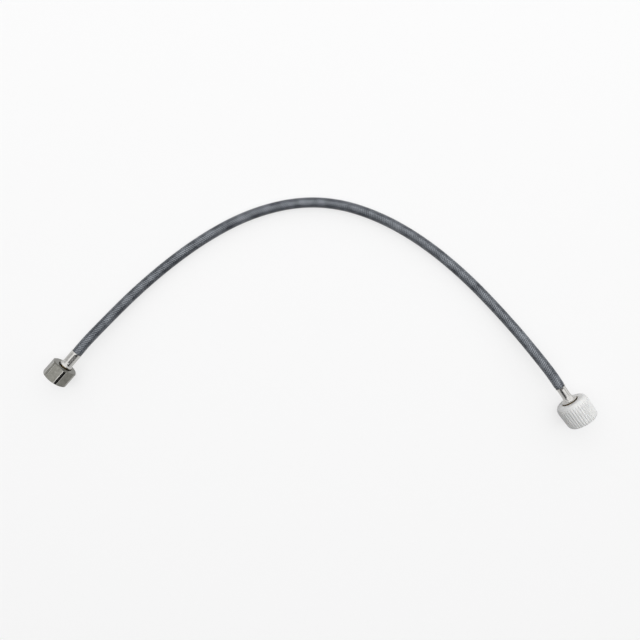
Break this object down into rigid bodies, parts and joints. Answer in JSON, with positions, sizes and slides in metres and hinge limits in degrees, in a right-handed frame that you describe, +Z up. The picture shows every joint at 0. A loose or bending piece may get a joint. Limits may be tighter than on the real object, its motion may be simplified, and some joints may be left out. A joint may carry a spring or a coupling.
{
  "type": "toilet inlet hose",
  "caption": "Flexible braided water hose with a metal hex nut for a half inch valve at one end and a ribbed plastic nut for a toilet tank's inlet at the other.",
  "frame": {"origin": "on the floor under the middle of the box round the two end fittings", "axes": "+X from the hex nut's end to the ribbed nut's end, +Y towards the top of the hose's arch as it lies, +Z up"},
  "size_m": [0.5378, 0.2273, 0.032],
  "materials": {
    "elastomer": "matte",
    "braid": "tightly woven strands, slightly shiny",
    "brass": "turned",
    "steel": "bright, crimped",
    "washer_rubber": "matte",
    "nickel_plate": "satin plated",
    "white_plastic": "moulded"
  },
  "bodies": {
    "hose": {"inner_tube": "elastomer", "braided_cover": "braid", "valve_stem": "brass", "valve_ferrule": "steel", "valve_washer": "washer_rubber", "tank_stem": "brass", "tank_ferrule": "steel", "tank_washer": "washer_rubber"},
    "valve_coupling": {"hex_nut": "nickel_plate"},
    "tank_coupling": {"tank_nut": "white_plastic"}
  },
  "joints": [
    {"name": "hex_nut_turn", "type": "hinge", "parent": "hose", "child": "valve_coupling", "pos_m": [-0.25994, 0.0107, 0.012], "axis": [0.6587, 0.7524, 0], "continuous": true},
    {"name": "ribbed_nut_turn", "type": "hinge", "parent": "hose", "child": "tank_coupling", "pos_m": [0.25702, -0.02954, 0.016], "axis": [-0.5707, 0.8211, 0], "continuous": true}
  ]
}
